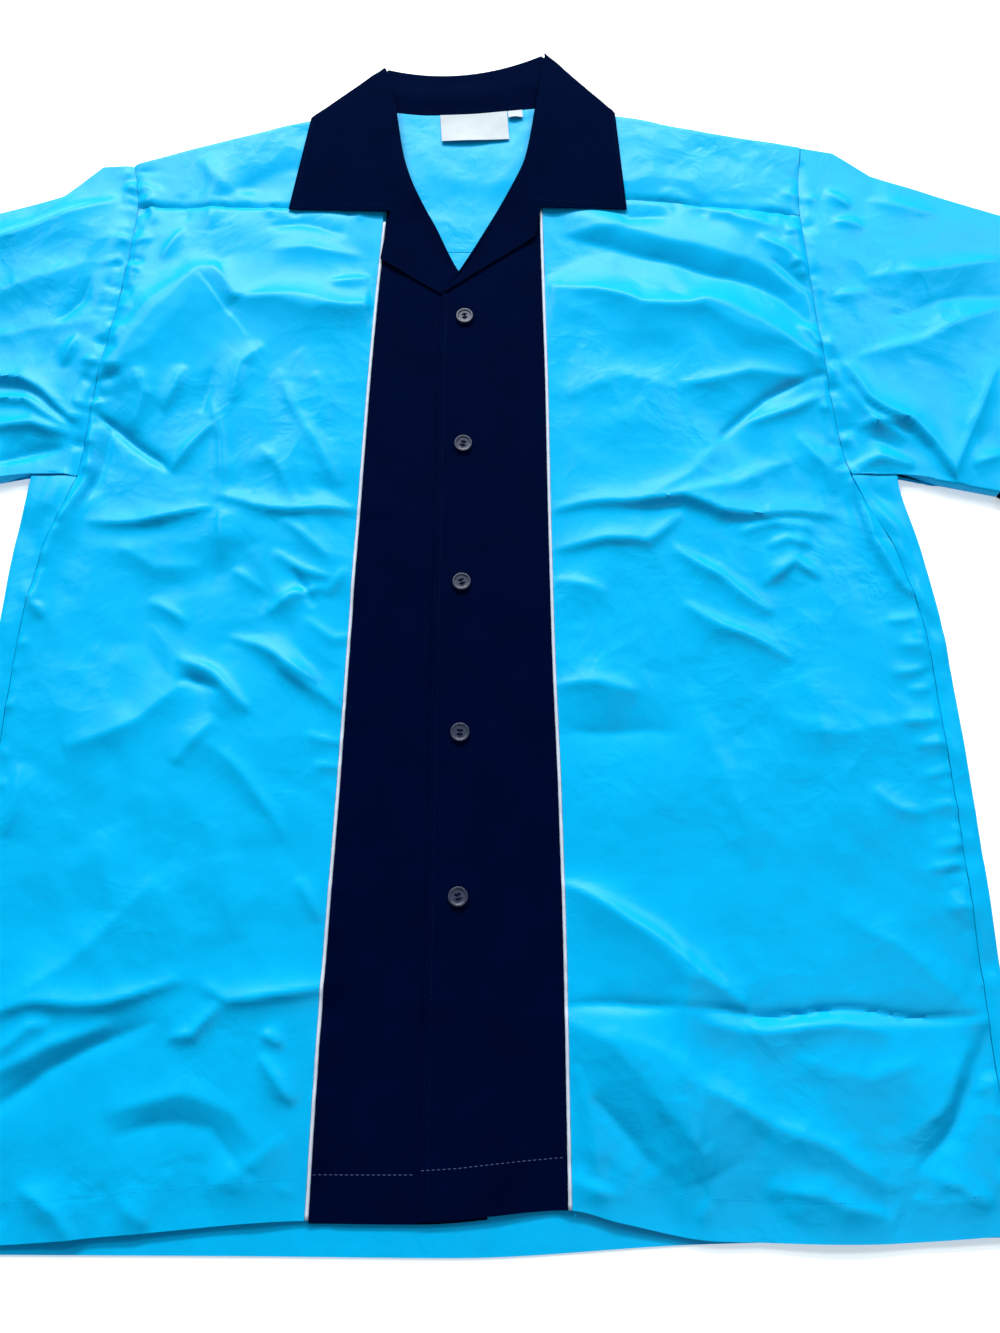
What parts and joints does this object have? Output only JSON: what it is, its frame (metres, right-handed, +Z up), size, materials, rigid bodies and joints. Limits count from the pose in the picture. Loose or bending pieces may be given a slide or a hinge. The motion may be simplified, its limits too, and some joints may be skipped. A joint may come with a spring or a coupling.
{
  "type": "bowling shirt",
  "caption": "Short-sleeved camp-collar bowling shirt laid flat and buttoned, turquoise with a navy centre front, collar and cuffs, and pale piping beside the centre front.",
  "frame": {"origin": "middle of the shirt's footprint, on the surface it lies on", "axes": "+Z up out of the front, +Y from the hem to the collar, +X towards the wearer's left sleeve"},
  "size_m": [0.9838, 0.87, 0.0091],
  "materials": {
    "turquoise_cloth": "plain-weave poplin with a light sheen",
    "navy_cloth": "plain-weave poplin, nearly matte",
    "piping_cloth": "smooth bias-cut cord",
    "label_cloth": "woven tape, blank",
    "button_plastic": "polished"
  },
  "bodies": {
    "root": {"back": "turquoise_cloth", "yoke": "turquoise_cloth", "front_left_side": "turquoise_cloth", "front_right_side": "turquoise_cloth", "sleeve_left": "turquoise_cloth", "sleeve_right": "turquoise_cloth", "front_left_centre": "navy_cloth", "front_right_centre": "navy_cloth", "lapel_left": "navy_cloth", "lapel_right": "navy_cloth", "collar": "navy_cloth", "cuff_left": "navy_cloth", "cuff_right": "navy_cloth", "piping_left": "piping_cloth", "piping_right": "piping_cloth", "button_1": "button_plastic", "button_2": "button_plastic", "button_3": "button_plastic", "button_4": "button_plastic", "button_5": "button_plastic", "label": "label_cloth", "size_tab": "label_cloth"}
  },
  "joints": []
}
